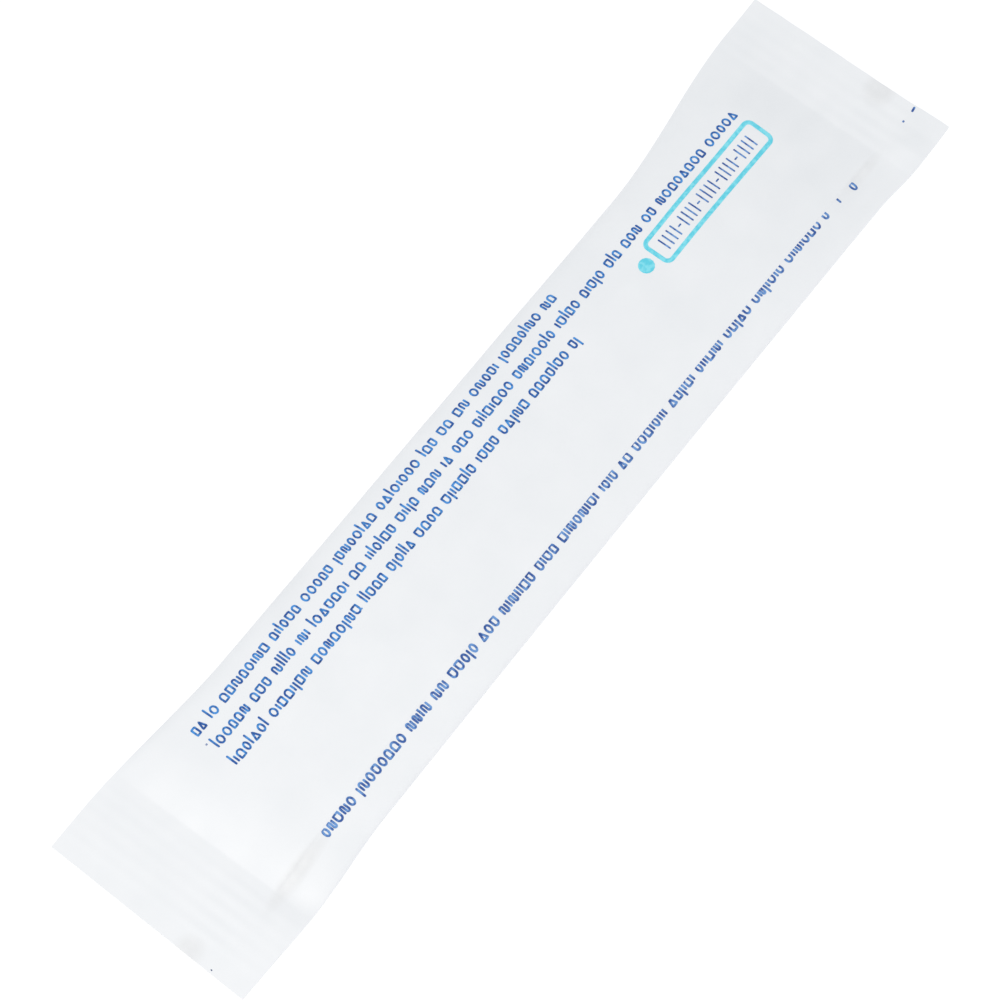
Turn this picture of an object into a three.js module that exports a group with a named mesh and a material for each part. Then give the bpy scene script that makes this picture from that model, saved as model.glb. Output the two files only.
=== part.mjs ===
// A single-serve stick packet of sweetener, filled and shut, lying on its front with the lap seam up.
// One paper tube pressed flat and crimped at both ends, so the whole packet is one closed body.
//
// Millimetres, +Z up. X runs along the stick and Y across it. The origin is on the surface that the
// packet lies on, under the middle of its bounding box.

import * as THREE from 'three';

// ---- Driving dimensions ------------------------------------------------------------------------

const LENGTH = 100;              // cut end to cut end, along the middle
const CUT_SLANT = 0.032;         // how far the -X cut leans, per mm of width
const THICKNESS = 3.4;           // of the filled middle
const BELLY = 1.45;              // how much of that lies below the side folds
const SEALED_SHEET = 0.22;       // two layers of coated paper, sealed together

const SEAL_START = -41.4;        // inner line of the -X seal
const SEAL_END = 44.3;           // inner line of the +X seal
const NEAR_SWELL = 6;            // distance over which the body fills out behind the -X seal
const FAR_SWELL = 16;            // and behind the +X seal, where there is less in it
const NEAR_FULLNESS = 2.4;       // how blunt that swelling is: 1 is a straight ramp
const FAR_FULLNESS = 1.6;
const NEAR_THINNING = 0.5;       // share of the top's rise that is missing behind the -X seal
const THINNING_REACH = 40;       // distance over which it comes back

const SEAL_HEIGHT = 1.45;        // of a seal's middle layer above the surface, at its inner line
const NEAR_DROOP = -0.12;        // how far the -X cut edge hangs below that
const FAR_CURL = 0.32;           // how far the +X cut edge curls above that

// The two side folds, by y. The tube is widest where it is pressed flat.
const NEAR_SEAL = { left: 10.5, right: -10.7 };
const FAR_SEAL = { left: 10.8, right: -10.42 };
const SEAL_TAPER = 0.035;        // by which the -Y fold comes in per mm along the -X seal
const TAPER_START = -43;         // x from where it does
const BODY_LEFT = 9.15;          // +Y fold beside the filled middle
const BODY_LEFT_TAPER = 0.008;   // which comes in by this much per mm towards +X
const BODY_RIGHT = -9.94;        // -Y fold beside the filled middle, at its waist
const WAIST = { x: 8, bend: 0.0001 };  // where that waist is, and how fast the fold bends out of it
const LEFT_FLARES = { near: [-46, -28], far: [26, 46] };   // x over which the +Y fold flares to each seal
const RIGHT_FLARES = { near: [-41, -31], far: [40, 46] };  // and the -Y fold

// How flat the top is towards each side fold: 0 makes an ellipse of the cross-section.
const LEFT_FLATNESS = 1.6;
const RIGHT_FLATNESS = 2.4;
const FRONT_FLATNESS = 1.3;      // the front's bulge is this much too full, and cut off flat to lie on

// The lap seam: the +Y panel is brought over and glued down on the -Y panel.
const LAP_EDGE = -6.7;           // y of the free edge of the upper panel
const LAP_BOW = { x: -39.5, along: 6, out: -0.36 };  // where that edge bows out, and by how much
const LAP_INNER = -4.3;          // y where the lower panel ends underneath
const LAP_FADE = { before: 1.8, after: 0.6 };  // run over which the top falls off round that line
const LAP_STEP = 0.08;           // height of the edge: one sheet and the glue under it
const EDGE_RUN = 0.14;           // run of the step across

// Shallow grooves that the seals pinch along the lap, their bottoms just outside its free edge.
const PINCHES = [
  { x: -39.6, along: 3.8, depth: 0.24 },
  { x: 40.6, along: 2.6, depth: 0.26 },
];
const PINCH_OFFSET = 0.5;        // from the edge to their bottoms
const PINCH_WIDTH = 0.7;         // their reach across

// Crimp ribs, which run across each seal, and how deep they are pressed.
const RIB_PITCH = 1.27;
const RIB_RISE = 0.09;
const NEAR_RIBS = { count: 5, start: -48.5, depth: 0.8 };
const FAR_RIBS = { count: 4, start: 44.3, depth: 0.45 };
const CRIMP = { y: -4.5, reach: 2.6, beside: 0.35 };  // deepest at y, and its share of that depth beside

// Soft rises and hollows of the sheet: centre, reach along and across, and height.
const SWELLS = [
  { x: 39.6, y: 4.2, alongX: 3.4, alongY: 3.2, rise: 0.5 },     // contents pushed up to the +X seal
  { x: 41.0, y: -0.7, alongX: 4.5, alongY: 1.0, rise: 0.22 },   // fold running into the +X seal
  { x: 38.0, y: -2.5, alongX: 4.6, alongY: 1.3, rise: -0.26 },  // and the crease beside it
  { x: 30.5, y: -2.6, alongX: 2.2, alongY: 1.2, rise: -0.14 },  // and where it dies out in the body
  { x: 46.2, y: -8.8, alongX: 1.6, alongY: 1.5, rise: 0.36 },   // pucker in the +X seal
  { x: 50.6, y: -9.5, alongX: 3.5, alongY: 2.6, rise: 0.38 },   // corner of that seal, curled up
  { x: -37.4, y: -9.2, alongX: 2.4, alongY: 1.1, rise: -0.06 }, // narrow side, flattened beside the seam
  { x: -41.0, y: -9.3, alongX: 1.4, alongY: 1.7, rise: -0.26 }, // crease in front of it
];

// How finely the sheet is cut into facets.
const STEPS_PER_RIB = 4;
const STRIP_COLUMNS = 8;         // between the -Y fold and the lap edge
const PANEL_COLUMNS = 14;        // between the lap edge and the +Y fold
const CUT_STEPS = 2;             // from each cut end to the ribs
const NEAR_STEPS = 13;           // over the swelling behind the -X seal
const BODY_STEPS = 22;           // along the filled middle
const FAR_STEPS = 15;            // over the swelling behind the +X seal

// ---- The form of the sheet ---------------------------------------------------------------------

const clamp = THREE.MathUtils.clamp;
const lerp = THREE.MathUtils.lerp;
const smooth = (x, from, to) => THREE.MathUtils.smoothstep(x, from, to);

/** 0 at the seals, 1 along the filled middle, following a blunt power curve at each end. */
function fullness(x) {
  const near = clamp((x - SEAL_START) / NEAR_SWELL, 0, 1);
  const far = clamp((SEAL_END - x) / FAR_SWELL, 0, 1);
  return (1 - (1 - near) ** NEAR_FULLNESS) * (1 - (1 - far) ** FAR_FULLNESS);
}

/** y of the +Y side fold at x: a slightly tapered line that flares out to the two flat seals. */
function leftFold(x) {
  const body = BODY_LEFT - BODY_LEFT_TAPER * x;
  const near = lerp(NEAR_SEAL.left, body, smooth(x, ...LEFT_FLARES.near));
  return lerp(near, FAR_SEAL.left, smooth(x, ...LEFT_FLARES.far));
}

/** y of the -Y side fold at x: a wide parabola that flares out late to the two flat seals. */
function rightFold(x) {
  const body = BODY_RIGHT - WAIST.bend * (x - WAIST.x) ** 2;
  const seal = NEAR_SEAL.right + SEAL_TAPER * Math.max(0, TAPER_START - x);
  const near = lerp(seal, body, smooth(x, ...RIGHT_FLARES.near));
  return lerp(near, FAR_SEAL.right, smooth(x, ...RIGHT_FLARES.far));
}

/** y of the lap's free edge at x, which bows out in a bell curve beside the -X seal. */
function lapEdge(x) {
  return LAP_EDGE + LAP_BOW.out * Math.exp(-(((x - LAP_BOW.x) / LAP_BOW.along) ** 2));
}

/** Height of the cross-section at y, from 0 at the folds to 1: a lens near the seals, rounder between. */
function section(x, y) {
  const full = fullness(x);
  const middle = (leftFold(x) + rightFold(x)) / 2;
  const half = (leftFold(x) - rightFold(x)) / 2;
  const across = clamp(Math.abs(y - middle) / half, 0, 1);
  const flatness = y > middle ? LEFT_FLATNESS : RIGHT_FLATNESS;
  return (1 - across ** (2 + flatness * full)) ** (1 / (1 + full));
}

/** Height of the layer where the two panels meet. */
function middleLayer(x) {
  const nearDroop = NEAR_DROOP * clamp((SEAL_START - x) / (SEAL_START + LENGTH / 2), 0, 1) ** 2;
  const farCurl = FAR_CURL * clamp((x - SEAL_END) / (LENGTH / 2 - SEAL_END), 0, 1) ** 2;
  return lerp(SEAL_HEIGHT + nearDroop + farCurl, BELLY, fullness(x));
}

/** The crimp: a raised cosine along x in each seal, pressed hardest over the lap's extra layer. */
function ribs(x, y) {
  const waves = [NEAR_RIBS, FAR_RIBS].map(({ count, start, depth }) => {
    const turns = (x - start) / RIB_PITCH;
    return turns > 0 && turns < count ? (depth * (1 - Math.cos(2 * Math.PI * turns))) / 2 : 0;
  });
  const overLap = Math.exp(-(((y - CRIMP.y) / CRIMP.reach) ** 2));
  return RIB_RISE * (waves[0] + waves[1]) * lerp(CRIMP.beside, 1, overLap);
}

/** Sum of the soft rises and hollows and the pinched grooves, each a bell curve in x and in y. */
function relief(x, y) {
  const bell = (dx, dy) => Math.exp(-dx * dx - dy * dy);
  const beside = (y - lapEdge(x) + PINCH_OFFSET) / PINCH_WIDTH;
  let sum = 0;
  for (const pinch of PINCHES) {
    sum -= pinch.depth * bell((x - pinch.x) / pinch.along, beside);
  }
  for (const swell of SWELLS) {
    sum += swell.rise * bell((x - swell.x) / swell.alongX, (y - swell.y) / swell.alongY);
  }
  return sum;
}

/** The lap: a step up at the free edge, and a soft fall where the lower panel ends. */
function lap(x, y) {
  const overEdge = clamp((y - lapEdge(x)) / EDGE_RUN, 0, 1);
  return LAP_STEP * overEdge * (1 - smooth(y, LAP_INNER - LAP_FADE.before, LAP_INNER + LAP_FADE.after));
}

/** Heights of the upper and lower face at (x, y). A flat seal moves as one sheet. */
function faces(x, y) {
  const full = fullness(x);
  const bend = relief(x, y);
  const middle = middleLayer(x) + ribs(x, y) + bend * (1 - full);
  const halfSheet = SEALED_SHEET / 2;
  const missing = NEAR_THINNING * clamp(1 - (x - SEAL_START) / THINNING_REACH, 0, 1) ** 2;
  const rise = (THICKNESS - BELLY - halfSheet) * full * (1 - missing);
  const belly = (BELLY - halfSheet) * full * Math.min(1, FRONT_FLATNESS * section(x, y));
  return {
    top: middle + halfSheet + rise * section(x, y) + bend * full + lap(x, y),
    bottom: Math.max(0, middle - halfSheet - belly),
  };
}

// ---- The grid of stations along x and columns across y ------------------------------------------

/** x of every station: close together over the ribs and the swelling, wide apart between. */
function stations() {
  const nearEnd = NEAR_RIBS.start + NEAR_RIBS.count * RIB_PITCH;
  const farEnd = FAR_RIBS.start + FAR_RIBS.count * RIB_PITCH;
  const stretches = [
    [-LENGTH / 2, NEAR_RIBS.start, CUT_STEPS],
    [NEAR_RIBS.start, nearEnd, NEAR_RIBS.count * STEPS_PER_RIB],
    [nearEnd, SEAL_START + NEAR_SWELL, NEAR_STEPS],
    [SEAL_START + NEAR_SWELL, SEAL_END - FAR_SWELL, BODY_STEPS],
    [SEAL_END - FAR_SWELL, FAR_RIBS.start, FAR_STEPS],
    [FAR_RIBS.start, farEnd, FAR_RIBS.count * STEPS_PER_RIB],
    [farEnd, LENGTH / 2, CUT_STEPS],
  ];
  const xs = [-LENGTH / 2];
  for (const [from, to, steps] of stretches) {
    for (let i = 1; i <= steps; i++) xs.push(lerp(from, to, i / steps));
  }
  return xs;
}

/** y of every column at station x, closer together towards the folds, with a pair at the lap edge. */
function columns(x) {
  const towardsFold = (k) => Math.sin((k * Math.PI) / 2);
  const edge = lapEdge(x);
  const ys = [];
  for (let j = STRIP_COLUMNS; j >= 0; j--) {
    ys.push(lerp(edge, rightFold(x), towardsFold(j / STRIP_COLUMNS)));
  }
  for (let j = 0; j <= PANEL_COLUMNS; j++) {
    ys.push(lerp(edge + EDGE_RUN, leftFold(x), towardsFold(j / PANEL_COLUMNS)));
  }
  return ys;
}

/** The closed body: an upper and a lower face over the same grid, joined round the rim. */
function packetGeometry() {
  const xs = stations();
  const width = columns(0).length;
  const points = [];
  for (const x of xs) {
    const lean = CUT_SLANT * (1 - smooth(x, -LENGTH / 2, NEAR_RIBS.start));
    for (const y of columns(x)) {
      const { top, bottom } = faces(x, y);
      points.push(x + lean * y, y, top, x + lean * y, y, bottom);
    }
  }

  const indices = [];
  const upper = (i, j) => 2 * (i * width + j);
  const lower = (i, j) => upper(i, j) + 1;
  const quad = (a, b, c, d) => indices.push(a, b, c, a, c, d);
  for (let i = 0; i + 1 < xs.length; i++) {
    for (let j = 0; j + 1 < width; j++) {
      quad(upper(i, j), upper(i + 1, j), upper(i + 1, j + 1), upper(i, j + 1));
      quad(lower(i, j), lower(i, j + 1), lower(i + 1, j + 1), lower(i + 1, j));
    }
    const last = width - 1;
    quad(lower(i, 0), lower(i + 1, 0), upper(i + 1, 0), upper(i, 0));
    quad(upper(i, last), upper(i + 1, last), lower(i + 1, last), lower(i, last));
  }
  for (let j = 0; j + 1 < width; j++) {
    const end = xs.length - 1;
    quad(lower(0, j), upper(0, j), upper(0, j + 1), lower(0, j + 1));
    quad(upper(end, j), lower(end, j), lower(end, j + 1), upper(end, j + 1));
  }

  const geometry = new THREE.BufferGeometry();
  geometry.setAttribute('position', new THREE.Float32BufferAttribute(points, 3));
  geometry.setIndex(indices);
  return centredOnFloor(geometry);
}

/** Moves a geometry so that its box is centred on the Z axis and stands on z = 0. */
function centredOnFloor(geometry) {
  geometry.computeBoundingBox();
  const { min, max } = geometry.boundingBox;
  return geometry.translate(-(min.x + max.x) / 2, -(min.y + max.y) / 2, -min.z);
}

// ---- The packet --------------------------------------------------------------------------------

const coatedPaper = new THREE.MeshStandardMaterial({ color: 0xeef1f6, roughness: 0.45, metalness: 0 });

const packet = new THREE.Mesh(packetGeometry(), coatedPaper);
packet.name = 'stick_packet';

const model = new THREE.Group();
model.add(packet);

export default model;
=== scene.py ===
import math

import bpy
import numpy as np
from mathutils import Matrix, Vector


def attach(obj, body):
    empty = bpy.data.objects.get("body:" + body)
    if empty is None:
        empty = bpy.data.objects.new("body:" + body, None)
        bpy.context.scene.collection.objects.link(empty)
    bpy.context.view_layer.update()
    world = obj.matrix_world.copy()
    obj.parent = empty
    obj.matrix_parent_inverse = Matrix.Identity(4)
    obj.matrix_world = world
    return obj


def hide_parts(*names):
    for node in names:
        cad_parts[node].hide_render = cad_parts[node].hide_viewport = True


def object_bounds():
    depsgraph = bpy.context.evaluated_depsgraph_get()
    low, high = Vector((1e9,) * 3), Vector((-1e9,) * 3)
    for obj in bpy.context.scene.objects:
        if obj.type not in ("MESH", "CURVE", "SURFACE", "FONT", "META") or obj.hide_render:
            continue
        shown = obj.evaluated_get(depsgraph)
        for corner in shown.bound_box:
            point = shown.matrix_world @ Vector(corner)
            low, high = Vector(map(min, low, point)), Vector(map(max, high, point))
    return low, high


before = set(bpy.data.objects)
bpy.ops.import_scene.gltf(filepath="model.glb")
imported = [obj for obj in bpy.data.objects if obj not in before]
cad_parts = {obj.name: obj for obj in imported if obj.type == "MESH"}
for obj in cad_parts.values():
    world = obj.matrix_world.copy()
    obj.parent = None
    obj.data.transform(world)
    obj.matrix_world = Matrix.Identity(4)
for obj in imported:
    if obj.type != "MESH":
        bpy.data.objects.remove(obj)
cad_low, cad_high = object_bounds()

# ==== The paper tube =============================================================================
# The packet is one web of coated white paper, wrapped round the sweetener as a tube. The web's two
# edges lap and are glued along the back, near the -Y side fold, and both ends are crimped flat
# between ribbed jaws. It lies on its front, so the lap seam and the small print face up.
# Lengths here are in millimetres, in the packet's own frame: x along it, y across, z up.

MM = 0.001
LENGTH = 100.0             # cut end to cut end, along the middle
CUT_SLANT = 0.032          # how far the -X cut leans, per mm of width
THICKNESS = 3.4            # of the filled middle
BELLY = 1.45               # how much of that lies below the side folds
FRONT_FLATNESS = 1.3       # the front's bulge is this much too full, and cut off flat to lie on
SEALED_SHEET = 0.22        # two layers of coated paper, sealed together
SEAL_START = -41.4         # inner line of the -X seal
SEAL_END = 44.3            # inner line of the +X seal
NEAR_SWELL = 6.0           # distance over which the body fills out behind the -X seal
FAR_SWELL = 16.0           # and behind the +X seal, where there is less in it
NEAR_FULLNESS = 2.4        # how blunt that swelling is: 1 is a straight ramp
FAR_FULLNESS = 1.6
NEAR_THINNING = 0.5        # share of the top's rise that is missing behind the -X seal
THINNING_REACH = 40.0      # distance over which it comes back
SEAL_HEIGHT = 1.45         # of a seal's middle layer above the surface, at its inner line
NEAR_DROOP = -0.12         # rise of the -X cut edge above that, which is a slight droop
FAR_CURL = 0.32            # rise of the +X cut edge, which curls up

NEAR_SEAL = (-10.7, 10.5)  # y of the two side folds at the -X seal, where the tube is pressed flat
FAR_SEAL = (-10.42, 10.8)  # and at the +X seal
SEAL_TAPER = 0.035         # by which the -Y fold comes in per mm along the -X seal
TAPER_START = -43.0        # x from where it does
BODY_LEFT = 9.15           # from the middle to the +Y fold, beside the contents
BODY_LEFT_TAPER = 0.008    # which comes in by this much per mm towards +X
BODY_RIGHT = 9.94          # from the middle to the -Y fold, beside the contents at its waist
WAIST = (8.0, 0.0001)      # x of that waist, and how fast the fold bends out of it: mm per mm^2
LEFT_FLARES = ((-46, -28), (26, 46))   # x over which the +Y fold flares to each seal
RIGHT_FLARES = ((-41, -31), (40, 46))  # and the -Y fold
LEFT_FLATNESS = 1.6        # how flat the top is towards the +Y fold: 0 is an ellipse
RIGHT_FLATNESS = 2.4       # and towards the -Y fold

LAP_EDGE = -6.7            # y of the free edge of the upper panel
LAP_BOW = (-39.5, 6.0, -0.36)  # where that edge bows out: x, reach along x, and by how much
LAP_INNER = (-6.1, -3.7)   # y over which the lower panel's end fades out, under the upper one
LAP_STEP = 0.08            # height of the upper panel's edge: one sheet and the glue under it
SEALED_STEP = 0.015        # and where the seals press it flat
LOOSENING = ((-42.6, -40.8), (42.8, 44.8))  # x over which it changes between the two, at each seal
EDGE_RUN = 0.14            # run over which that edge slopes down, pressed by the sealing roller
LAP_PINCHES = ((-39.6, 3.8, 0.18), (40.6, 2.6, 0.22))  # beside each seal: x, reach along x, and depth
PINCH_OFFSET = 0.5         # of their bottom from that edge
PINCH_WIDTH = 0.70         # their reach across

RIB_PITCH = 1.27           # of the jaws' ribs, which run across the seals
RIB_RISE = 0.09            # where the lap makes the seal thick
RIB_BESIDE = 0.35          # share of that rise that shows everywhere
RIB_BANDS = ((-4.5, 2.6, 0.65), (6.0, 3.0, 0.15))  # and where more does: y, reach across, and share
NEAR_RIBS = (-48.5, 5, 0.45)  # where the ribs start, how many there are, and how deep they are pressed
FAR_RIBS = (44.3, 4, 0.45)

# Soft rises and hollows of the sheet: x, y, reach along x, reach along y, height.
SWELLS = (
    (39.6, 4.2, 3.4, 3.2, 0.50),      # contents pushed up to the +X seal
    (41.0, -0.7, 4.5, 1.0, 0.22),     # fold running into the +X seal
    (38.0, -2.5, 4.6, 1.3, -0.26),    # and the crease beside it
    (30.5, -2.6, 2.2, 1.2, -0.14),    # and where it dies out in the body
    (46.2, -8.8, 1.6, 1.5, 0.42),     # pucker in the +X seal
    (50.6, -9.5, 3.5, 2.6, 0.38),     # corner of that seal, curled up
    (-37.4, -9.2, 2.4, 1.1, -0.06),   # narrow side, flattened beside the seam
    (-41.0, -9.3, 1.4, 1.7, -0.26),   # crease in front of it
)

# Puckers that fan out of each seal: x, reach along x, distance apart, phase in turns, height.
PUCKERS = ((SEAL_START, 4.5, 3.9, 0.15, 0.035), (SEAL_END, 6.0, 3.1, 0.4, 0.045))
WAVELENGTHS = (21, 15, 11, 8, 6, 4.5)  # of the sheet's slow waviness
WAVE_HEIGHT = 0.0016       # of each wave, as a share of its length
WAVE_ANGLE = (0.15, 1.2)   # least and greatest angle between its run and the packet, in radians
WAVE_SEED = 7

# Mesh stations along the tube: where each stretch starts and ends, and the step in it.
STRETCHES = (
    (-LENGTH / 2, SEAL_START + 1, 0.13),
    (SEAL_START + 1, -29, 0.24),
    (-29, 27, 0.5),
    (27, SEAL_END - 1, 0.3),
    (SEAL_END - 1, LENGTH / 2, 0.13),
)
BACK_POINTS, STRIP_POINTS, FRONT_POINTS = 72, 24, 54  # mesh points round each station


def smooth(x, start, end):
    """0 before start and 1 after end, with an S-curve of 3t^2 - 2t^3 between."""
    t = np.clip((x - start) / (end - start), 0, 1)
    return t * t * (3 - 2 * t)


def fullness(x):
    """0 at the seals and 1 along the filled middle, following a blunt power curve at each end."""
    near = np.clip((x - SEAL_START) / NEAR_SWELL, 0, 1)
    far = np.clip((SEAL_END - x) / FAR_SWELL, 0, 1)
    return (1 - (1 - near) ** NEAR_FULLNESS) * (1 - (1 - far) ** FAR_FULLNESS)


def left_fold(x):
    """y of the +Y side fold: a slightly tapered line that flares out to the two flat seals."""
    body = BODY_LEFT - BODY_LEFT_TAPER * x
    near = (NEAR_SEAL[1] - body) * (1 - smooth(x, *LEFT_FLARES[0]))
    return body + near + (FAR_SEAL[1] - body) * smooth(x, *LEFT_FLARES[1])


def right_fold(x):
    """y of the -Y side fold: a wide parabola that flares out late to the two flat seals."""
    body = -BODY_RIGHT - WAIST[1] * (x - WAIST[0]) ** 2
    seal = NEAR_SEAL[0] + SEAL_TAPER * np.maximum(0, TAPER_START - x)
    near = (seal - body) * (1 - smooth(x, *RIGHT_FLARES[0]))
    return body + near + (FAR_SEAL[0] - body) * smooth(x, *RIGHT_FLARES[1])


def section(x, y):
    """Height across the tube from 0 to 1: (1 - |y|^n)^(1/(1+f)) with fullness f and n = 2 + b f, a lens
    near the seals and rounder between, where b makes the -Y side flatter on top than the +Y side."""
    full = fullness(x)
    middle = (left_fold(x) + right_fold(x)) / 2
    half = (left_fold(x) - right_fold(x)) / 2
    across = np.clip(np.abs(y - middle) / half, 0, 1)
    flatness = np.where(y > middle, LEFT_FLATNESS, RIGHT_FLATNESS)
    return (1 - across ** (2 + flatness * full)) ** (1 / (1 + full))


def middle_layer(x):
    """Height of the layer where the front and back panels meet."""
    near = np.clip((SEAL_START - x) / (SEAL_START + LENGTH / 2), 0, 1)
    far = np.clip((x - SEAL_END) / (LENGTH / 2 - SEAL_END), 0, 1)
    seal = SEAL_HEIGHT + NEAR_DROOP * near**2 + FAR_CURL * far**2
    return seal + (BELLY - seal) * fullness(x)


def ribs(x, y):
    """The crimp: a raised cosine along x in each seal, times a share that is greatest in a bell curve
    over the lap, where the seal is thick."""
    wave = 0
    for start, count, depth in (NEAR_RIBS, FAR_RIBS):
        turns = (x - start) / RIB_PITCH
        bead = np.where((turns > 0) & (turns < count), (1 - np.cos(2 * np.pi * turns)) / 2, 0)
        wave = wave + depth * bead
    pressed = RIB_BESIDE
    for at_y, reach, share in RIB_BANDS:
        pressed = pressed + share * np.exp(-(((y - at_y) / reach) ** 2))
    return RIB_RISE * wave * pressed


def lap_edge(x):
    """y of the lap's free edge: straight, but bowed out in a bell curve beside the -X seal."""
    at_x, along_x, out = LAP_BOW
    return LAP_EDGE + out * np.exp(-(((x - at_x) / along_x) ** 2))


def relief(x, y):
    """Sum of the soft rises and hollows, each a bell curve along x times one along y, and of the
    grooves that the seals pinch along the lap's edge."""
    beside = (y - lap_edge(x) + PINCH_OFFSET) / PINCH_WIDTH
    total = 0
    for at_x, along_x, depth in LAP_PINCHES:
        total = total - depth * np.exp(-(((x - at_x) / along_x) ** 2) - beside**2)
    for at_x, at_y, along_x, along_y, rise in SWELLS:
        total = total + rise * np.exp(-(((x - at_x) / along_x) ** 2) - ((y - at_y) / along_y) ** 2)
    return total


def wrinkles(x, y):
    """Faint creasing of the sheet: cosines across it that die out behind both seals, and a slow
    waviness made of sines with seeded directions and phases."""
    total = 0
    for at_x, reach, apart, phase, height in PUCKERS:
        total = total + height * np.exp(-np.abs(x - at_x) / reach) * np.cos(2 * np.pi * (y / apart + phase))
    rng = np.random.default_rng(WAVE_SEED)
    for wavelength in WAVELENGTHS:
        angle, phase = rng.uniform(*WAVE_ANGLE) * rng.choice((-1, 1)), rng.uniform(0, 2 * np.pi)
        along = x * np.cos(angle) + y * np.sin(angle)
        total = total + WAVE_HEIGHT * wavelength * np.sin(2 * np.pi * along / wavelength + phase)
    return total


def faces(x, y):
    """Heights of the back's lower layer and of the front: a middle layer, with half a sealed sheet and
    a share of the section on each side. Relief moves both where the tube is flat, and the back alone
    where it is full."""
    full = fullness(x)
    bend = relief(x, y) + wrinkles(x, y)
    middle = middle_layer(x) + ribs(x, y) + bend * (1 - full)
    missing = NEAR_THINNING * np.clip(1 - (x - SEAL_START) / THINNING_REACH, 0, 1) ** 2
    crown = (THICKNESS - BELLY - SEALED_SHEET / 2) * full * (1 - missing) * section(x, y)
    belly = (BELLY - SEALED_SHEET / 2) * full * np.minimum(1, FRONT_FLATNESS * section(x, y))
    back = middle + SEALED_SHEET / 2 + crown + bend * full
    front = np.maximum(0, middle - SEALED_SHEET / 2 - belly)
    return back, front


def loose(x):
    """1 where the lap is only glued, falling to 0 in the seals, which fuse it flat."""
    return smooth(x, *LOOSENING[0]) * (1 - smooth(x, *LOOSENING[1]))


def lower_panel(x, y):
    """Top of the back's lower layer."""
    return faces(x, y)[0]


def upper_panel(x, y):
    """Top of the back panel: over the lap it stands one step above the lower layer, which it slopes
    down to at its free edge and again, more softly, where the lower layer ends."""
    overlap = np.clip((y - lap_edge(x)) / EDGE_RUN, 0, 1) * (1 - smooth(y, *LAP_INNER))
    step = SEALED_STEP + (LAP_STEP - SEALED_STEP) * loose(x)
    return faces(x, y)[0] + step * overlap


def spread(*stretches):
    """Stations along x: each stretch is (start, end, step), cut into even steps of about that size."""
    parts = [np.linspace(a, b, max(2, round((b - a) / step) + 1))[:-1] for a, b, step in stretches]
    return np.append(np.concatenate(parts), stretches[-1][1])


def towards_fold(count):
    """Shares from 0 to 1 that crowd together towards 1, as the sine of even angles."""
    return np.sin(np.linspace(0, np.pi / 2, count))


def tube_points():
    """The tube as a loop of points round each station: back panel, lap edge, narrow strip, front. Near
    the -X cut the loops lean, as the cut does."""
    x = spread(*STRETCHES)[:, None]
    edge, left, right = lap_edge(x), left_fold(x), right_fold(x)
    back_y = edge + EDGE_RUN + (left - edge - EDGE_RUN) * towards_fold(BACK_POINTS)[::-1]
    edge_y = edge + EDGE_RUN * np.array([0.5, 0])
    strip_y = edge + (right - edge) * towards_fold(STRIP_POINTS)[1:]
    across = np.sin(np.linspace(-np.pi / 2, np.pi / 2, FRONT_POINTS))
    front_y = (left + right) / 2 + (left - right) / 2 * across

    y = np.hstack([back_y, edge_y, strip_y, front_y])
    z = np.hstack([upper_panel(x, back_y), upper_panel(x, edge_y), lower_panel(x, strip_y),
                   faces(x, front_y)[1]])
    lean = CUT_SLANT * (1 - smooth(x, -LENGTH / 2, NEAR_RIBS[0]))
    return np.stack([x + lean * y, y, z], -1)


def loft(points, first=0, closed=False):
    """Faces through rows of points, each row a closed loop: the last row meets the first one if closed,
    and both are capped if not. All face outwards, and first is the number of their first point."""
    rows, around = points.shape[:2]
    i, j = np.meshgrid(np.arange(rows if closed else rows - 1), np.arange(around), indexing="ij")
    n, k = (i + 1) % rows, (j + 1) % around
    quads = np.stack([i * around + j, i * around + k, n * around + k, n * around + j], -1)
    polygons = (first + quads.reshape(-1, 4)).tolist()
    if not closed:
        ends = first + np.arange(rows * around).reshape(rows, around)[[0, -1]]
        polygons += [ends[0, ::-1].tolist(), ends[1].tolist()]
    return polygons


def add_piece(name, points, polygons, material, smooth_angle=None):
    """A mesh object at the origin from points in the packet's frame, moved onto the CAD solid."""
    mesh = bpy.data.meshes.new(name)
    mesh.from_pydata(((points.reshape(-1, 3) + place) * MM).tolist(), [], polygons)
    if smooth_angle:
        mesh.shade_smooth()
        mesh.set_sharp_from_angle(angle=math.radians(smooth_angle))
    mesh.materials.append(material)
    piece = bpy.data.objects.new(name, mesh)
    bpy.context.scene.collection.objects.link(piece)
    return piece


def new_material(name):
    """An empty node material: its node tree, its Principled shader, and Object coordinates."""
    material = bpy.data.materials.new(name)
    material.use_nodes = True
    tree = material.node_tree
    coordinates = tree.nodes.new("ShaderNodeTexCoord")
    return material, tree, tree.nodes["Principled BSDF"], coordinates.outputs["Object"]


def noise(tree, vector, scale, detail=4.0, stretch=None):
    """A Noise texture's value, with an optional stretch of its coordinates along each axis."""
    if stretch:
        mapping = tree.nodes.new("ShaderNodeMapping")
        mapping.inputs["Scale"].default_value = stretch
        tree.links.new(vector, mapping.inputs["Vector"])
        vector = mapping.outputs["Vector"]
    texture = tree.nodes.new("ShaderNodeTexNoise")
    texture.inputs["Scale"].default_value = scale
    texture.inputs["Detail"].default_value = detail
    tree.links.new(vector, texture.inputs["Vector"])
    return texture.outputs["Fac"]


def ramp(tree, value, *stops):
    """A colour ramp over value, with two stops; each is (position, (r, g, b))."""
    node = tree.nodes.new("ShaderNodeValToRGB")
    for element, (position, rgb) in zip(node.color_ramp.elements, stops):
        element.position = position
        element.color = (*rgb, 1)
    tree.links.new(value, node.inputs["Fac"])
    return node.outputs["Color"]


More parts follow.
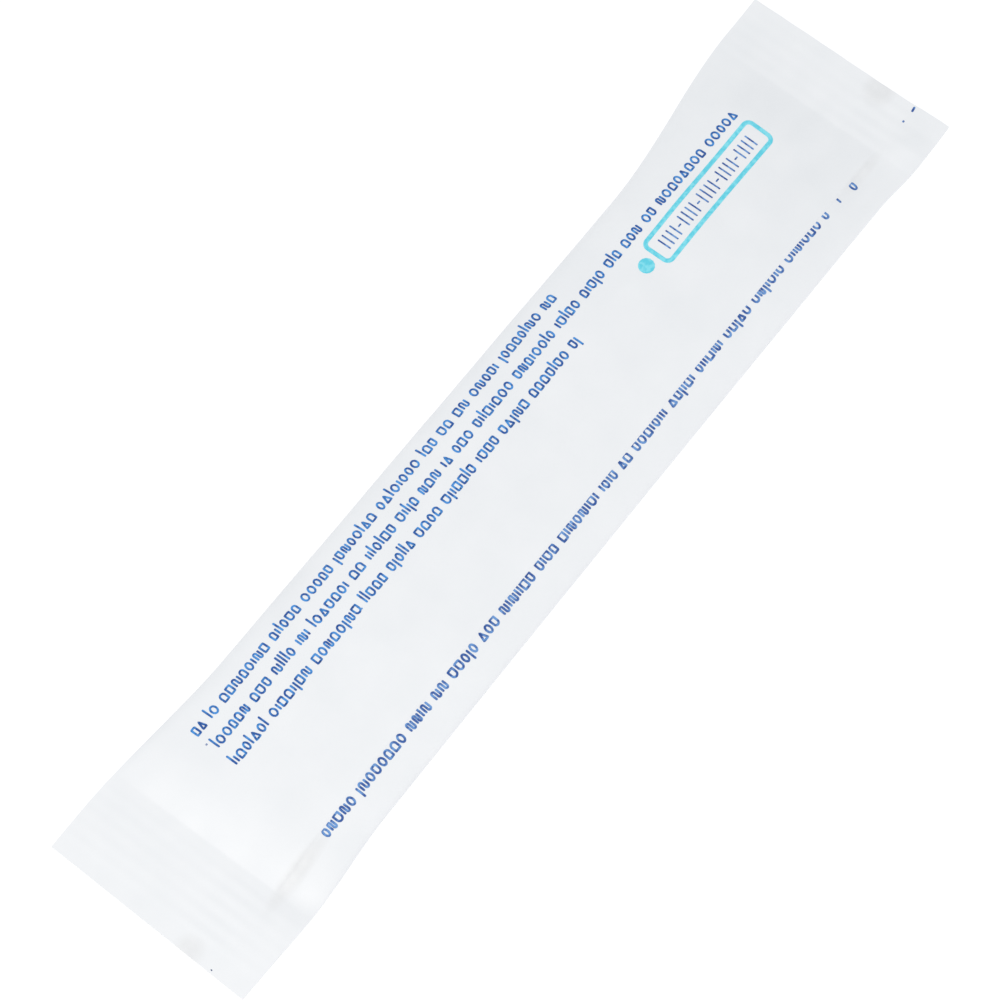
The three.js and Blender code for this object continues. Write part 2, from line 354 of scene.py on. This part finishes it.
def mix(tree, factor, first, second):
    """Two colours mixed by a socket's value."""
    node = tree.nodes.new("ShaderNodeMix")
    node.data_type = "RGBA"
    tree.links.new(factor, node.inputs[0])
    tree.links.new(first, node.inputs[6])
    tree.links.new(second, node.inputs[7])
    return node.outputs[2]


def soft_spot(tree, vector, centre, reach):
    """1 at a point of the packet's frame, falling to 0 at the ellipsoid of that reach round it."""
    mapping = tree.nodes.new("ShaderNodeMapping")
    mapping.vector_type = "TEXTURE"
    mapping.inputs["Location"].default_value = [(c + p) * MM for c, p in zip(centre, place)]
    mapping.inputs["Scale"].default_value = [r * MM for r in reach]
    gradient = tree.nodes.new("ShaderNodeTexGradient")
    gradient.gradient_type = "SPHERICAL"
    tree.links.new(vector, mapping.inputs["Vector"])
    tree.links.new(mapping.outputs["Vector"], gradient.inputs["Vector"])
    return gradient.outputs["Fac"]


FIBRE_SCALE = 5200         # fibres to a metre, across the packet
FIBRE_STRETCH = (0.45, 1, 1)  # they are longer along it
FIBRE_DEPTH = 0.006        # mm


def fibre_bump(tree, shader, where):
    """Bump of the paper's fine fibres, from stretched noise."""
    bump = tree.nodes.new("ShaderNodeBump")
    bump.inputs["Distance"].default_value = FIBRE_DEPTH * MM
    fibres = noise(tree, where, FIBRE_SCALE, detail=3, stretch=FIBRE_STRETCH)
    tree.links.new(fibres, bump.inputs["Height"])
    tree.links.new(bump.outputs["Normal"], shader.inputs["Normal"])


# Grey patches at the two cut ends, then painted shade along the lap's edge by each seal: centre, reach, and
# how grey.
GREY_PATCHES_AND_PAINTED_SHADE = (
    # grey patches at the two cut ends
    ((-49.8, -4.3, 0.9), (2.0, 1.8, 4), 0.32),
    ((49.4, -3.3, 1.3), (2.2, 2.0, 4), 0.36),
    # painted shade in the grooves beside the lap's edge, at the -X and +X seals
    ((-38.9, -7.35, 1.6), (5.6, 1.1, 4), 0.36),
    ((41.9, -6.9, 1.8), (3.8, 0.75, 4), 0.22),
)


def coated_paper():
    """Satin coated white paper: cloudy formation, fine fibres under the coating, grey patches at the cut
    ends, and painted shade along the lap's edge beside each seal."""
    material, tree, shader, where = new_material("coated_paper")
    clouds = noise(tree, where, 260, detail=5)
    white = ramp(tree, clouds, (0.3, (0.785, 0.80, 0.825)), (0.7, (0.81, 0.822, 0.845)))
    grey = ramp(tree, noise(tree, where, 900), (0.3, (0.60, 0.60, 0.605)), (0.7, (0.72, 0.72, 0.725)))
    # Each place mixes the grey in: a grey patch at a cut end, or painted shade beside the lap's edge.
    for centre, reach, strength in GREY_PATCHES_AND_PAINTED_SHADE:
        spot = ramp(tree, soft_spot(tree, where, centre, reach), (0.12, (0, 0, 0)), (0.6, (strength,) * 3))
        white = mix(tree, spot, white, grey)
    tree.links.new(white, shader.inputs["Base Color"])

    sheen = tree.nodes.new("ShaderNodeMapRange")
    sheen.inputs["To Min"].default_value = 0.36
    sheen.inputs["To Max"].default_value = 0.52
    tree.links.new(noise(tree, where, 1500), sheen.inputs["Value"])
    tree.links.new(sheen.outputs["Result"], shader.inputs["Roughness"])
    shader.inputs["Specular IOR Level"].default_value = 0.4

    fibre_bump(tree, shader, where)
    return material


# The packet's frame is moved so that the tube is centred on the CAD solid and lies as low.
tube = tube_points()
tube_middle = (tube.reshape(-1, 3).min(0) + tube.reshape(-1, 3).max(0)) / 2
cad_middle = np.array((cad_low + cad_high) / 2) / MM
place = np.array([*(cad_middle - tube_middle)[:2], cad_low.z / MM])

paper_tube = add_piece("paper_tube", tube, loft(tube), coated_paper(), smooth_angle=50)
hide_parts("stick_packet")
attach(paper_tube, "root")

# ==== The small print ============================================================================
# Three lines of small blue print run along the back, flexo-printed on the coated side of the web.
# Here each word is a row of simple shapes of the same height and weight, such as rings, domes and
# bars, and each shape is a film of ink that follows the paper under it.

X_HEIGHT = 0.94            # height of a shape
TALL = 1.40                # height of a tall bar
HANG = 0.38                # how far a hanging bar reaches below the line
SHAPE_WIDTH = (0.40, 0.56)  # narrowest and widest shape, between the middles of its strokes
WAVE_TURN = 0.6            # width of each half of a wave, as a share of a shape's
SHAPE_GAP = 0.15           # clear space between two shapes
WORD_GAP = 0.50            # and what a gap between words adds to it
WORD_LENGTHS = (2, 8)      # fewest and most shapes in a word
STROKE = 0.19              # width of a stroke
INK = 0.014                # how far the ink stands above the paper
INK_ROOT = 0.03            # and how far it reaches into it
TURN_POINTS = 20           # points in a full turn of a curve
INK_STEP = 0.07            # between mesh stations along a stroke
END_ANGLES = np.linspace(0.25, np.pi / 2, 4)  # of the stations in a stroke's round end, in radians
LINE_SLOPE = 0.0062        # the print climbs a little across the web, per mm along it

# Lines of print: x where it starts and ends, and y of its foot at x = 0.
PRINT_LINES = ((-34.9, 16.2, 6.70), (-34.6, 39.4, 4.61), (-34.9, 14.6, 2.46))
INK_SPOTS = ((-35.0, 5.52), (-17.63, 2.5))  # two stray spots beside the lines

# How often each shape comes in a line of print.
SHAPES = {"ring": 0.22, "dome": 0.15, "bowl": 0.12, "box": 0.07, "peak": 0.06,
          "wave": 0.12, "bar": 0.10, "tall bar": 0.11, "hanging bar": 0.05}


def bend(x0, x1, y0, y1, start, end):
    """Points along the ellipse that fills a box, from one angle to another, both in turns."""
    angle = 2 * np.pi * np.linspace(start, end, 3 + round(TURN_POINTS * abs(end - start)))
    x = (x0 + x1) / 2 + (x1 - x0) / 2 * np.cos(angle)
    return np.column_stack([x, (y0 + y1) / 2 + (y1 - y0) / 2 * np.sin(angle)])


def simple_shape(kind, wide):
    """The stroke of one shape that stands on y = 0, with the middle of its stroke at x = 0 and x = wide:
    straight runs joined by half ellipses. A closed shape's ends overlap."""
    low, high = STROKE / 2, X_HEIGHT - STROKE / 2
    before, after = (wide - STROKE) / 2, (wide + STROKE) / 2
    over, under = bend(0, wide, high - wide, high, 0.5, 0), bend(0, wide, low, low + wide, 0.5, 1)
    turn = WAVE_TURN * wide
    strokes = {
        "ring": [*bend(0, wide, low, high, 0.20, 1.30)],
        "dome": [(after, low), (0, low), *over, (wide, low), (before, low)],
        "bowl": [(after, high), (0, high), *under, (wide, high), (before, high)],
        "box": [(after, low), (0, low), (0, high), (wide, high), (wide, low), (before, low)],
        "peak": [(after, low), (0, low), (wide / 2, high), (wide, low), (before, low)],
        "wave": [(0, low), *bend(0, turn, high - turn, high, 0.5, 0),
                 *bend(turn, 2 * turn, low, low + turn, 0.5, 1), (2 * turn, high)],
        "bar": [(0, low), (0, high)],
        "tall bar": [(0, low), (0, TALL - STROKE / 2)],
        "hanging bar": [(0, STROKE / 2 - HANG), (0, high)],
    }
    return np.array(strokes[kind])


def line_of_print(start, end, foot, seed):
    """The strokes of one line: words of random shapes, up to where the next shape would pass the end."""
    rng = np.random.default_rng(seed)
    strokes, x = [], start + STROKE / 2
    while x < end:
        length = rng.integers(WORD_LENGTHS[0], WORD_LENGTHS[1] + 1)
        for kind in rng.choice(list(SHAPES), length, p=list(SHAPES.values())):
            path = simple_shape(kind, rng.uniform(*SHAPE_WIDTH)) + [x, foot]
            if path[:, 0].max() + STROKE / 2 > end:
                return strokes
            x = path[:, 0].max() + STROKE + SHAPE_GAP
            path[:, 1] += LINE_SLOPE * path[:, 0]
            strokes.append(path)
        x += WORD_GAP
    return strokes


def distances(path):
    """How far along a path each of its points lies."""
    return np.append(0, np.cumsum(np.hypot(*np.diff(path, axis=0).T)))


def points_at(path, s):
    """Points of a path at the distances s along it, on straight lines between its own points."""
    along = distances(path)
    return np.stack([np.interp(s, along, path[:, 0]), np.interp(s, along, path[:, 1])], -1)


def ribbon(path, width):
    """Both edges of a stroke: the path moved sideways by half the width, which closes in a half
    circle at each end, so that the stroke has round ends."""
    total, half = distances(path)[-1], width / 2
    end = half * (1 - np.cos(END_ANGLES))
    body = np.linspace(half, total - half, max(2, round(total / INK_STEP)))[1:-1]
    s = np.concatenate([end, body, total - end[::-1]])
    centre = points_at(path, s)
    tangent = np.gradient(centre, s, axis=0)
    tangent /= np.linalg.norm(tangent, axis=1)[:, None]
    from_end = np.clip(1 - np.minimum(s, total - s) / half, 0, 1)
    side = np.stack([-tangent[:, 1], tangent[:, 0]], -1) * (half * np.sqrt(1 - from_end**2))[:, None]
    return centre + side, centre - side


def film(left, right, surface):
    """Loops of four points across a film of ink over a surface z(x, y): its two edges on top of the
    paper, and the same two a little way down in it."""
    loops = []
    for edge, rise in ((left, INK), (right, INK), (right, -INK_ROOT), (left, -INK_ROOT)):
        loops.append(np.column_stack([edge, surface(edge[:, 0], edge[:, 1]) + rise]))
    return np.stack(loops, 1)[:, ::-1]


def ink_film(strokes, width, surface):
    """Closed thin films over a surface, one for each stroke, joined in one mesh."""
    points, polygons, first = [], [], 0
    for path in strokes:
        loops = film(*ribbon(path, width), surface)
        polygons += loft(loops, first)
        points.append(loops.reshape(-1, 3))
        first += loops.shape[0] * loops.shape[1]
    return np.concatenate(points), polygons


def ink(name, strong, thin):
    """Printing ink: a colour that runs from strong to thin where less of it was laid down."""
    material, tree, shader, where = new_material(name)
    laid = noise(tree, where, 2100, detail=3)
    tree.links.new(ramp(tree, laid, (0.42, strong), (0.60, thin)), shader.inputs["Base Color"])
    shader.inputs["Roughness"].default_value = 0.45
    shader.inputs["Specular IOR Level"].default_value = 0.35
    fibre_bump(tree, shader, where)
    return material


print_blue = ink("print_blue", (0.016, 0.085, 0.33), (0.06, 0.27, 0.66))
lines = [line_of_print(*line, seed=11 + i) for i, line in enumerate(PRINT_LINES)]
spots = [np.array([[x - STROKE / 2, y], [x + STROKE / 2, y]]) for x, y in INK_SPOTS]
small_print = add_piece("small_print", *ink_film(sum(lines, spots), STROKE, upper_panel), print_blue)
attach(small_print, "root")

# ==== The line of print at the seam ==============================================================
# A fourth line was printed so close to the web's edge that the lap covers the tops of its marks.
# Its ink is on the lower panel, so it runs in under the upper panel's free edge. Scraps of the same
# print show past its end, and beside the edge at both cuts.

seam_blue = ink("seam_blue", (0.03, 0.09, 0.32), (0.14, 0.30, 0.62))

SEAM_LINE = (-35.3, 37.4, -7.52)  # x where it starts and ends, and y of its foot at x = 0
SEAM_STROKE = 0.21
LAST_RING = (40.15, -7.46)        # left side and foot of one ring past the end of the line

# The scraps: both ends of each stroke.
SEAM_SCRAPS = (
    ((-50.0, -6.86), (-49.88, -6.86)),
    ((38.3, -6.6), (38.3, -7.18)),
    ((48.05, -6.82), (48.26, -6.82)),
    ((49.3, -6.9), (49.85, -6.83)),
)

seam_strokes = line_of_print(*SEAM_LINE, seed=31) + [np.array(scrap) for scrap in SEAM_SCRAPS]
seam_strokes.append(simple_shape("ring", SHAPE_WIDTH[0]) + LAST_RING)
seam_print = add_piece("seam_print", *ink_film(seam_strokes, SEAM_STROKE, lower_panel), seam_blue)
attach(seam_print, "root")

# ==== The cyan frame =============================================================================
# Below the end of the middle line stands a plain rounded frame in a second ink, pale cyan, with a
# round dot of the same ink at its left. In the frame is a plain scale of short blue bars and dashes,
# printed in the thinner blue of the line at the seam.

FRAME_X = (24.0, 39.5)      # its two ends
FRAME_Y = (0.90, 3.72)      # its lower and upper line, at x = 0
FRAME_CORNER = 0.55         # corner radius of the line's middle
FRAME_LINE = 0.41           # width of the line
CORNER_POINTS = 9           # points round a corner
FRAME_STATIONS = 400        # mesh stations along the line
DOT_X, DOT_RADIUS = 22.6, 0.75  # the dot's middle and radius
TICK_LINE = 0.15            # width of the scale's bars and dashes
TICK_COUNT, TICK_PITCH = 24, 0.56  # how many there are, and how far apart
TICK_GROUP = 4              # every fifth place in the scale is a short dash instead of a bar
TICK_INSET = 1.2            # from the frame's end to the first bar
TICK_MARGINS = (0.68, 0.72)  # from the frame's lower and upper line to the bars' ends
DASH_REACH = 0.2            # half the length of a dash


def stroke(x0, x1, y0, y1):
    """A straight stroke between two points, on the slope of the print."""
    return np.array([(x0, y0 + LINE_SLOPE * x0), (x1, y1 + LINE_SLOPE * x1)])


def rounded_box(x_range, y_range, radius):
    """A closed outline: four quarter circles joined by straight sides, on the slope of the print."""
    corners = []
    for k, (cx, cy) in enumerate(((1, 1), (0, 1), (0, 0), (1, 0))):
        angle = np.linspace(0, np.pi / 2, CORNER_POINTS) + k * np.pi / 2
        centre_x = x_range[cx] + (radius if cx == 0 else -radius)
        centre_y = y_range[cy] + (radius if cy == 0 else -radius)
        corners.append(np.stack([centre_x + radius * np.cos(angle), centre_y + radius * np.sin(angle)], -1))
    outline = np.concatenate([*corners, corners[0][:1]])
    outline[:, 1] += LINE_SLOPE * outline[:, 0]
    return outline


def closed_film(outline, width, surface):
    """A closed ring of ink along an outline whose last point is its first: the outline moved sideways
    by half the width, both ways."""
    s = np.linspace(0, distances(outline)[-1], FRAME_STATIONS, endpoint=False)
    centre = points_at(outline, s)
    tangent = np.roll(centre, -1, 0) - np.roll(centre, 1, 0)
    tangent /= np.linalg.norm(tangent, axis=1)[:, None]
    side = np.stack([-tangent[:, 1], tangent[:, 0]], -1) * width / 2
    loops = film(centre + side, centre - side, surface)
    return loops, loft(loops, closed=True)


print_cyan = ink("print_cyan", (0.11, 0.60, 0.74), (0.22, 0.71, 0.82))
frame_outline = rounded_box(FRAME_X, FRAME_Y, FRAME_CORNER)
cyan_frame = add_piece("cyan_frame", *closed_film(frame_outline, FRAME_LINE, upper_panel), print_cyan)
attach(cyan_frame, "root")

# The dot is a stroke as long as it is wide, and so all round end.
dot = stroke(DOT_X - DOT_RADIUS, DOT_X + DOT_RADIUS, sum(FRAME_Y) / 2, sum(FRAME_Y) / 2)
cyan_dot = add_piece("cyan_dot", *ink_film([dot], 2 * DOT_RADIUS, upper_panel), print_cyan)
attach(cyan_dot, "root")

tick_x = FRAME_X[0] + TICK_INSET + TICK_PITCH * np.arange(TICK_COUNT)
tick_low, tick_high = FRAME_Y[0] + TICK_MARGINS[0], FRAME_Y[1] - TICK_MARGINS[1]
tick_middle = (tick_low + tick_high) / 2
scale = []
for i, x in enumerate(tick_x):
    if i % (TICK_GROUP + 1) == TICK_GROUP:
        scale.append(stroke(x - DASH_REACH, x + DASH_REACH, tick_middle, tick_middle))
    else:
        scale.append(stroke(x, x, tick_low, tick_high))
frame_ticks = add_piece("frame_ticks", *ink_film(scale, TICK_LINE, upper_panel), seam_blue)
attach(frame_ticks, "root")

# ==== Floor, light and camera ====================================================================
# A pale table top, a large soft key light from the photograph's left and an even white surround.

CAMERA_LENS = 191.4       # mm on a 36 mm sensor
CAMERA_DISTANCE = 458.3   # mm from the point looked at
CAMERA_AZIMUTH = -52.58
CAMERA_ELEVATION = 68.06
LOOKED_AT = np.array([-1.543, 0.034, 0.0])  # in the packet's frame
FLOOR_HALF = 1.5          # m from its middle to each side
FLOOR_DROP = -0.00003     # m that it lies below the packet, so that the two never share a plane


def spherical(azimuth, elevation):
    """Unit vector towards that side: azimuth 0 is -Y, turning towards +X; elevation above the floor."""
    a, e = math.radians(azimuth), math.radians(elevation)
    return np.array([math.sin(a) * math.cos(e), -math.cos(a) * math.cos(e), math.sin(e)])


def aim(thing, at, back):
    """Places an object at a point, its -Z looking against back and its X kept level."""
    right = np.cross([0, 0, 1], back)
    right /= np.linalg.norm(right)
    up = np.cross(back, right)
    rows = np.eye(4)
    rows[:3] = np.column_stack([right, up, back, at])
    thing.matrix_world = Matrix(rows)


floor_mesh = bpy.data.meshes.new("floor")
corners = [(x * FLOOR_HALF, y * FLOOR_HALF, FLOOR_DROP) for x, y in ((-1, -1), (1, -1), (1, 1), (-1, 1))]
floor_mesh.from_pydata(corners, [], [(0, 1, 2, 3)])
floor = bpy.data.objects.new("floor", floor_mesh)
bpy.context.scene.collection.objects.link(floor)
table_top, tree, shader, where = new_material("table_top")
tone = ramp(tree, noise(tree, where, 30), (0.3, (0.24, 0.24, 0.245)), (0.7, (0.255, 0.255, 0.26)))
tree.links.new(tone, shader.inputs["Base Color"])
shader.inputs["Emission Color"].default_value = (1, 1, 1, 1)
shader.inputs["Emission Strength"].default_value = 0.8
shader.inputs["Roughness"].default_value = 0.8
shader.inputs["Specular IOR Level"].default_value = 0.2
floor_mesh.materials.append(table_top)


def area_light(name, azimuth, elevation, distance, size, power, color):
    """A square softbox aimed at the middle of the packet."""
    lamp = bpy.data.lights.new(name, "AREA")
    lamp.shape, lamp.size, lamp.energy, lamp.color = "SQUARE", size, power, color
    light = bpy.data.objects.new(name, lamp)
    bpy.context.scene.collection.objects.link(light)
    back = spherical(azimuth, elevation)
    aim(light, back * distance, back)


area_light("key", azimuth=-76, elevation=45, distance=0.42, size=0.25, power=0.565, color=(1, 0.94, 0.87))

world = bpy.context.scene.world or bpy.data.worlds.new("surround")
bpy.context.scene.world = world
world.use_nodes = True
world.node_tree.nodes["Background"].inputs["Color"].default_value = (0.98, 1.0, 1.012, 1)
world.node_tree.nodes["Background"].inputs["Strength"].default_value = 0.885

camera_data = bpy.data.cameras.new("camera")
camera_data.sensor_width = 36.0
camera_data.lens = CAMERA_LENS
camera_data.clip_start, camera_data.clip_end = 0.01, 10
camera = bpy.data.objects.new("camera", camera_data)
bpy.context.scene.collection.objects.link(camera)
toward_camera = spherical(CAMERA_AZIMUTH, CAMERA_ELEVATION)
aim(camera, (LOOKED_AT + [place[0], place[1], 0] + toward_camera * CAMERA_DISTANCE) * MM, toward_camera)
bpy.context.scene.camera = camera
bpy.context.scene.view_settings.view_transform = "Standard"
